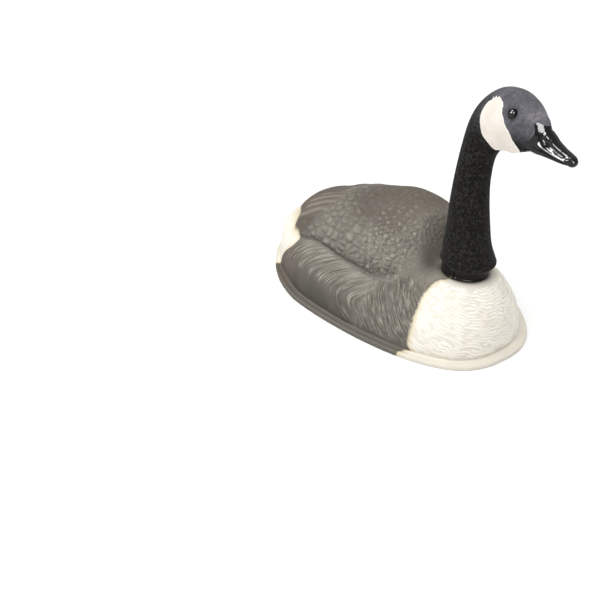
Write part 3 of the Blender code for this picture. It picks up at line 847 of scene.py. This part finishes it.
def grey_paint(look, drift, relief, stroke, small, large):
    """Sprayed grey and brown, with painted highlights on the feathers' crests and painted shade
    between them.
    """
    # Darker grey, with painted shade in the crease and pocket and a painted shadow behind the neck.
    grey = look.mix(look.mask("darker_grey_and_shade"), GREY_LIGHT, GREY_DARK)
    grey = look.mix(look.mask("brown"), grey, WING_BROWN)
    grey = look.mix(look.ramp(drift, 0.35, 0.7, 0.0, 0.30), grey, WING_PINK)
    # Painted shade in the hollows of the moulded relief and painted highlight on its crests.
    grey = look.mix(look.ramp(relief, 0.0, 0.6, 0.20, 0.0), grey, GREY_DARK)
    grey = look.mix(look.ramp(relief, 0.6, 1.5, 0.0, 0.30), grey, GREY_PALE_AND_HIGHLIGHT)
    fine = look.noise(260, 4, roughness=0.65)
    grey = look.mix(look.ramp(fine, 0.35, 0.65, 0.30, 0.0), grey, GREY_DARK)
    # Darker and paler along the strokes: partly paint, partly painted shade and painted highlight.
    grey = look.mix(look.ramp(stroke, -0.20, -0.02, 0.70, 0.0), grey, GREY_DARK)
    grey = look.mix(look.ramp(stroke, 0.03, 0.20, 0.0, 0.60), grey, GREY_PALE_AND_HIGHLIGHT)
    # Painted shadow in the gaps between the rounded feathers and painted highlight on their raised
    # tips.
    for (height, share), low, high, contrast in ((small, 0.1, 1.0, 0.70), (large, 0.7, 1.35, 0.44)):
        dark = look.sum(look.ramp(height, low - 0.6, low, contrast, 0.0), share, "MULTIPLY")
        grey = look.mix(dark, grey, GREY_DARK)
        light = look.sum(look.ramp(height, low + 0.3, high, 0.0, 0.7 * contrast), share, "MULTIPLY")
        grey = look.mix(light, grey, GREY_PALE_AND_HIGHLIGHT)
    return grey


def paint_border(look):
    """Distance into the cream paint, with a ragged edge."""
    ragged = look.noise(420, 2, stretch=(1, 1, 0.22))
    wander = look.noise(60, 2)
    return look.sum(look.mask("cream"), look.sum(look.ramp(ragged, 0.3, 0.7, -0.0010, 0.0010),
                                                 look.ramp(wander, 0.3, 0.7, -0.0008, 0.0008)))


def shell_paint():
    look = Finish("shell_plastic_paint")
    drift, relief = look.noise(38, 3), look.mask("relief")
    small, large = feather_scales(look)
    stroke = fine_strokes(look)
    edge = paint_border(look)

    grey = grey_paint(look, drift, relief, stroke, small, large)
    grey = look.mix(look.ramp(edge, -0.0080, 0.0, 0.0, 0.45), grey, EDGE_BROWN)
    # Painted shade in the hollows between the breast's ripples.
    cream = look.mix(look.ramp(relief, 0.0, 0.40, 0.75, 0.0), CREAM, CREAM_SHADE)
    cream = look.mix(look.ramp(drift, 0.4, 0.7, 0.0, 0.25), cream, CREAM_WARM)
    cream = look.mix(look.ramp(edge, 0.0005, 0.0100, 0.60, 0.0), cream, EDGE_TAN)
    colour = look.mix(look.ramp(edge, -0.0026, 0.0030), grey, cream)
    colour = look.mix(look.mask("inside"), colour, INSIDE_GREY)

    bump = look.bump(look.noise(520, 4, roughness=0.65), 0.0003, 0.5)
    bump = look.bump(stroke, 0.0035, before=bump)
    for (height, share), depth in ((small, 0.0020), (large, 0.0032)):
        bump = look.bump(look.sum(height, share, "MULTIPLY"), depth, before=bump)
    return look.done(colour, bump, roughness=0.72, specular_ior_level=0.15)


def flocking():
    """Black flock of the neck, greyer over the crown and face, and painted white cheek patch."""
    look = Finish("flocked_head_paint")
    fine = look.noise(650, 3, roughness=0.7)
    tuft = look.noise(230, 4, roughness=0.7)
    cloud = look.noise(80, 3)
    black = look.mix(look.ramp(tuft, 0.42, 0.66), FLOCK_BLACK, FLOCK_GREY)
    black = look.mix(look.ramp(cloud, 0.4, 0.7, 0.0, 0.5), black, FLOCK_BROWN)
    face = look.mix(look.ramp(cloud, 0.3, 0.7), FACE_MID, FACE_LIGHT)
    face = look.mix(look.ramp(tuft, 0.35, 0.65, 0.50, 0.0), face, FACE_DARK)
    worn = look.sum(look.mask("worn"), look.ramp(fine, 0.42, 0.62, 0.0, 0.8), "MULTIPLY")
    face = look.mix(worn, face, FACE_WORN)
    colour = look.mix(look.mask("greyer_crown_and_face"), black, face)
    edge = look.sum(look.mask("patch"), look.ramp(look.noise(300, 2), 0.3, 0.7, -0.0003, 0.0003))
    white = look.mix(look.ramp(look.noise(45, 2), 0.3, 0.7), PATCH_LIGHT, PATCH_MID)
    white = look.mix(look.ramp(tuft, 0.3, 0.7, 0.25, 0.0), white, PATCH_DARK)
    white = look.mix(look.ramp(edge, 0.0003, 0.0016, 0.8, 0.0), white, PATCH_EDGE)
    colour = look.mix(look.ramp(edge, -0.0002, 0.0004), colour, white)
    bump = look.bump(fine, 0.0004, 0.6)
    bump = look.bump(tuft, 0.0010, 0.7, before=bump)
    return look.done(colour, bump, roughness=0.9, specular_ior_level=0.04, sheen_weight=0.06,
                     sheen_roughness=0.5)


def gloss(name, colour, roughness, wave=0.25, specular=0.35):
    """Shiny plastic; wave is how much its surface ripples."""
    look = Finish(name)
    paler = tuple(c * 1.7 for c in colour)
    tint = look.mix(look.ramp(look.noise(160, 3), 0.3, 0.7), colour, paler)
    bump = look.bump(look.noise(150, 2), 0.0010, wave)
    return look.done(tint, bump, roughness=roughness, specular_ior_level=specular)


# ---------------------------------------------------------------- room and camera
def build_room():
    """Pale floor and even white light from all round."""
    mesh = bpy.data.meshes.new("floor")
    corners = [(x * FLOOR_REACH, y * FLOOR_REACH, 0)
               for x, y in ((-1, -1), (1, -1), (1, 1), (-1, 1))]
    mesh.from_pydata(corners, [], [(0, 1, 2, 3)])
    floor = bpy.data.objects.new("floor", mesh)
    bpy.context.scene.collection.objects.link(floor)
    look = Finish("pale_floor")
    shade = look.mix(look.ramp(look.noise(3, 2), 0.3, 0.7), (0.83, 0.83, 0.83), (0.81, 0.81, 0.81))
    mesh.materials.append(look.done(shade, roughness=0.9))

    world = bpy.data.worlds.new("studio")
    world.use_nodes = True
    background = world.node_tree.nodes["Background"]
    background.inputs["Color"].default_value = (1.0, 1.0, 1.0, 1.0)
    background.inputs["Strength"].default_value = WORLD_LIGHT
    bpy.context.scene.world = world


def add_panel(name, towards, spread, strength, glossy):
    """Far-away panel of light, seen either by matte paint or by glossy reflections."""
    light = bpy.data.lights.new(name, "SUN")
    light.angle = math.radians(spread)
    light.energy = strength
    obj = bpy.data.objects.new(name, light)
    obj.rotation_mode = "QUATERNION"
    obj.rotation_quaternion = Vector(towards).to_track_quat("Z", "Y")
    obj.visible_glossy, obj.visible_diffuse = glossy, not glossy
    bpy.context.scene.collection.objects.link(obj)


def add_camera():
    heading, pitch = Vector(CAMERA_HEADING).normalized(), math.radians(CAMERA_PITCH)
    forward = heading * math.cos(pitch) - Vector((0, 0, math.sin(pitch)))
    right = Vector((heading.y, -heading.x, 0))
    up = right.cross(forward)
    data = bpy.data.cameras.new("camera")
    data.lens, data.sensor_width = CAMERA_LENS, CAMERA_SENSOR
    data.clip_start = 0.01
    camera = bpy.data.objects.new("camera", data)
    camera.matrix_world = Matrix((right, up, -forward)).transposed().to_4x4()
    camera.location = CAMERA_PLACE
    bpy.context.scene.collection.objects.link(camera)
    bpy.context.scene.camera = camera


def dress(obj, material, node, body):
    """Give a piece its material and its moving body, in place of a CAD node."""
    obj.data.materials.append(material)
    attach(obj, body)
    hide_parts(node)


def main():
    bpy.context.scene.view_settings.view_transform = "Standard"
    dress(build_shell(), shell_paint(), "body_shell", "shell")
    dress(build_head(), flocking(), "head_and_neck", "head")
    bill_gloss = gloss("gloss_bill", BILL_BLACK, 0.12, wave=0.6)
    ring_gloss = gloss("gloss_ring", RING_BLACK, 0.22, specular=0.2)
    eye_gloss = gloss("gloss_eye", EYE_BLACK, 0.08, wave=0.0)
    dress(build_bill(), bill_gloss, "bill", "head")
    dress(build_ring(), ring_gloss, "neck_ring", "head")
    for name, side in (("eye_left", 1), ("eye_right", -1)):
        dress(build_eye(name + "_look", side), eye_gloss, name, "head")
    build_room()
    for panel in PANELS:
        add_panel(*panel)
    add_camera()


main()
